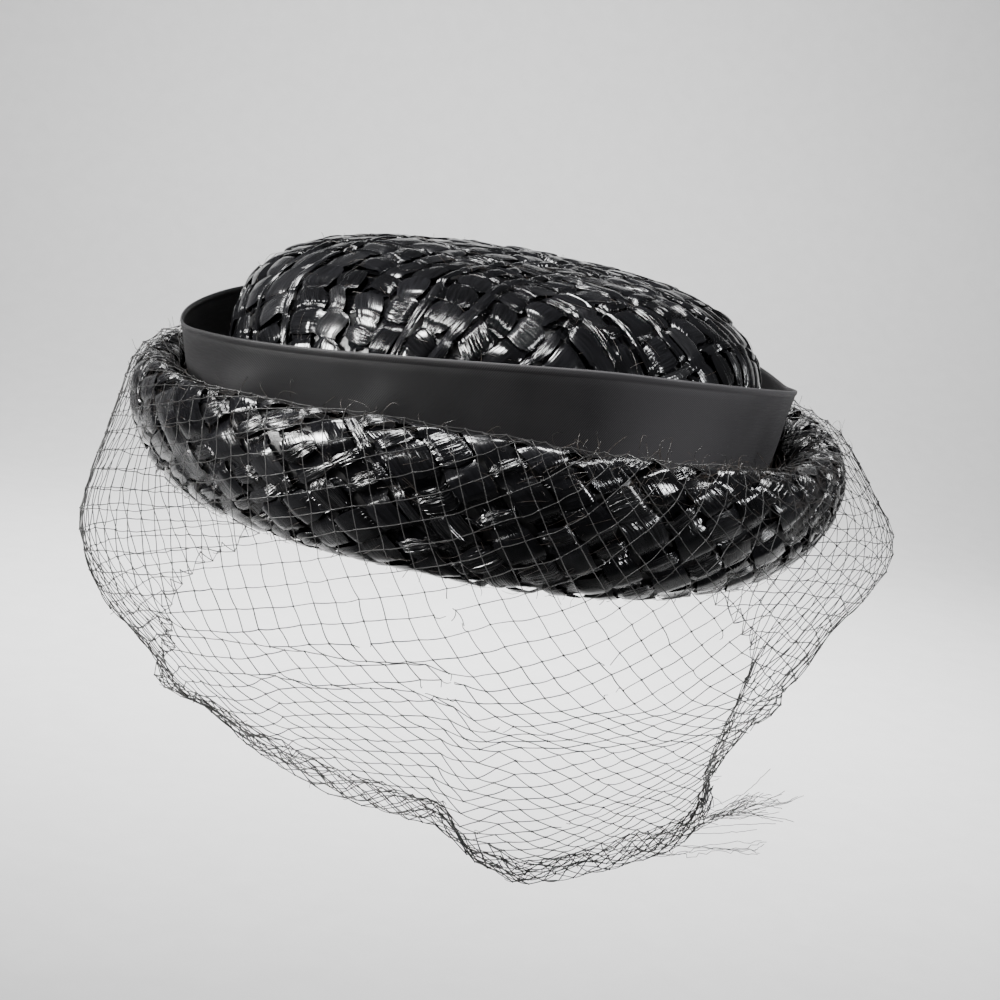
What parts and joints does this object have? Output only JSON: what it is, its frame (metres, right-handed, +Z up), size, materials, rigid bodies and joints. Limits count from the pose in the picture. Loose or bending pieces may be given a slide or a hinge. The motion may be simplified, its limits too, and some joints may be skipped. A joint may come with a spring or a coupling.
{
  "type": "small straw hat with net veil",
  "caption": "Small domed hat of glossy woven straw with a rolled brim, a standing ribbon band and a net veil that hangs over the face.",
  "frame": {"origin": "centre of the head opening, in the plane of the crown's foot", "axes": "+Z up along the hat's axis, -Y towards the front of the hat, where the veil hangs lowest, +X towards the wearer's left"},
  "size_m": [0.2543, 0.2652, 0.1622],
  "materials": {
    "straw": "flat glossy black synthetic straw strip, woven",
    "ribbon": "fine ribbed satin ribbon, soft sheen",
    "net": "fine knotted net, matt with slight glints"
  },
  "bodies": {
    "root": {"crown": "straw", "brim": "straw", "band": "ribbon", "veil": "net"}
  },
  "joints": []
}
